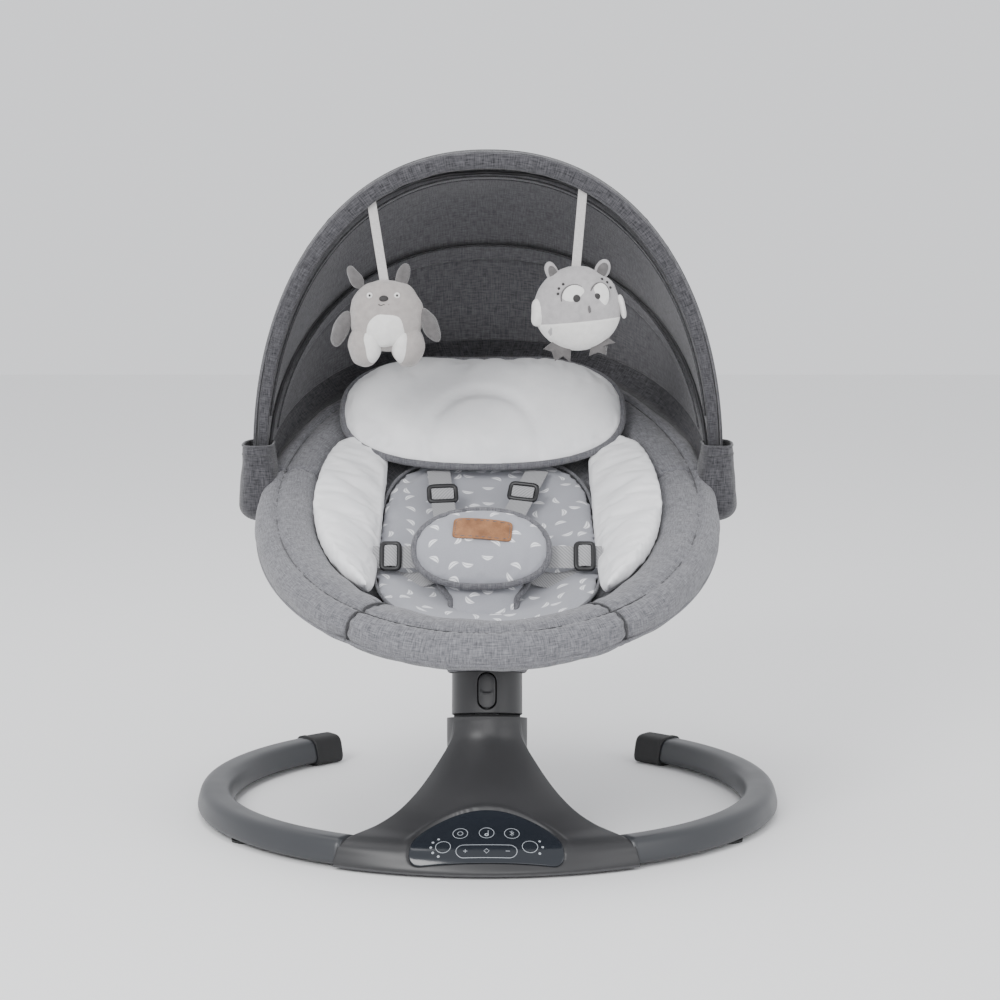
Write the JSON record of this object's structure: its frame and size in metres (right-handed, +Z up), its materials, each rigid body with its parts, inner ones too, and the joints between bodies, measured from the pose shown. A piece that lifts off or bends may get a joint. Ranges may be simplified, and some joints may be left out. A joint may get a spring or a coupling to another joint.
{
  "type": "baby swing",
  "caption": "Electric baby swing: padded oval seat with harness, head pillow, folding canopy and hanging toys, turning on a leaning neck above a C-shaped floor ring.",
  "frame": {"origin": "centre of the whole swing's footprint on the floor", "axes": "+Z up, the front with the touch panel faces -Y, +X to the right seen from the front"},
  "size_m": [0.616, 0.6874, 0.6899],
  "materials": {
    "housing": "fine-grained satin",
    "leg": "satin",
    "rubber": "matt",
    "touch_panel": "gloss with pale touch symbols",
    "circuit_board": "matt",
    "inner_plastic": "moulded",
    "copper": "wound enamelled wire",
    "steel": "turned",
    "frame_metal": "powder coat",
    "heather_fabric": "heathered melange weave",
    "canopy_fabric": "crosshatch melange weave",
    "white_fabric": "soft brushed cotton",
    "print_fabric": "grey cotton with small white leaf marks",
    "webbing": "woven strap",
    "buckle": "moulded",
    "plush": "short-pile plush",
    "leather": "smooth stitched tag"
  },
  "bodies": {
    "base": {"base_housing": "housing", "base_bottom_cover": "housing", "left_leg": "leg", "right_leg": "leg", "left_leg_end_cap": "rubber", "right_leg_end_cap": "rubber", "front_left_foot": "rubber", "front_right_foot": "rubber", "control_panel": "touch_panel", "control_board": "circuit_board", "speaker": "inner_plastic", "drive_coil": "copper", "bearing_carrier": "inner_plastic", "upper_bearing": "steel", "lower_bearing": "steel", "power_socket": "inner_plastic"},
    "seat": {"swing_shaft": "steel", "drive_arm": "steel", "seat_hub": "frame_metal", "neck_collar": "housing", "left_support_arm": "frame_metal", "right_support_arm": "frame_metal", "foot_ring_tube": "frame_metal", "head_ring_tube": "frame_metal", "left_hinge_bracket": "inner_plastic", "right_hinge_bracket": "inner_plastic", "left_pivot_pin": "steel", "right_pivot_pin": "steel", "ring_pad_foot": "heather_fabric", "ring_pad_left": "heather_fabric", "ring_pad_right": "heather_fabric", "ring_pad_head": "heather_fabric", "seat_hull": "heather_fabric", "seat_sling": "white_fabric", "left_bolster": "white_fabric", "right_bolster": "white_fabric", "centre_panel": "print_fabric", "head_pillow": "white_fabric", "left_shoulder_strap": "webbing", "right_shoulder_strap": "webbing", "left_waist_strap": "webbing", "right_waist_strap": "webbing", "harness_buckle": "buckle", "crotch_pad": "print_fabric", "belly_pad": "print_fabric", "rear_canopy_bow": "inner_plastic", "canopy_tail": "canopy_fabric", "left_hinge_cover": "canopy_fabric", "right_hinge_cover": "canopy_fabric"},
    "release_button": {"release_button": "housing"},
    "mid_bow": {"mid_canopy_bow": "inner_plastic", "canopy_mid_panel": "canopy_fabric"},
    "front_bow": {"front_canopy_bow": "inner_plastic", "canopy_front_panel": "canopy_fabric"},
    "bear_toy": {"bear_toy": "plush"},
    "owl_toy": {"owl_toy": "plush"},
    "left_shoulder_adjuster": {"left_shoulder_adjuster": "buckle"},
    "right_shoulder_adjuster": {"right_shoulder_adjuster": "buckle"},
    "left_waist_adjuster": {"left_waist_adjuster": "buckle"},
    "right_waist_adjuster": {"right_waist_adjuster": "buckle"}
  },
  "joints": [
    {"name": "seat_swing", "type": "hinge", "parent": "base", "child": "seat", "pos_m": [0, -0.1807, 0.125], "axis": [0, 0.2419, 0.9703], "range_deg": [-45, 45]},
    {"name": "button_press", "type": "slide", "parent": "seat", "child": "release_button", "axis": [0, 0.9703, -0.2419], "range_m": [0, 0.004], "stiffness_N_per_m": 300},
    {"name": "canopy_fold", "type": "hinge", "parent": "seat", "child": "mid_bow", "pos_m": [0, 0.0693, 0.345], "axis": [-1, 0, 0], "range_deg": [0, 28]},
    {"name": "front_bow_fold", "type": "hinge", "parent": "mid_bow", "child": "front_bow", "pos_m": [0, 0.0693, 0.345], "axis": [-1, 0, 0], "range_deg": [0, 11.2]},
    {"name": "bear_swing", "type": "hinge", "parent": "front_bow", "child": "bear_toy", "pos_m": [-0.12818, 0.04261, 0.6501], "axis": [0, 1, 0], "range_deg": [-12, 12]},
    {"name": "owl_swing", "type": "hinge", "parent": "front_bow", "child": "owl_toy", "pos_m": [0.10548, 0.04146, 0.66317], "axis": [0, 1, 0], "range_deg": [-12, 12]},
    {"name": "left_shoulder_adjust", "type": "slide", "parent": "seat", "child": "left_shoulder_adjuster", "axis": [-0.0819, 0.9413, 0.3274], "range_m": [-0.012, 0.01]},
    {"name": "right_shoulder_adjust", "type": "slide", "parent": "seat", "child": "right_shoulder_adjuster", "axis": [0.2396, 0.9168, 0.3194], "range_m": [-0.012, 0.01]},
    {"name": "left_waist_adjust", "type": "slide", "parent": "seat", "child": "left_waist_adjuster", "axis": [-1, 0, 0], "range_m": [-0.015, 0.002]},
    {"name": "right_waist_adjust", "type": "slide", "parent": "seat", "child": "right_waist_adjuster", "axis": [1, 0, 0], "range_m": [-0.015, 0.002]}
  ],
  "couplings": [
    {"joint": "front_bow_fold", "follows": "canopy_fold", "ratio": 0.4}
  ]
}
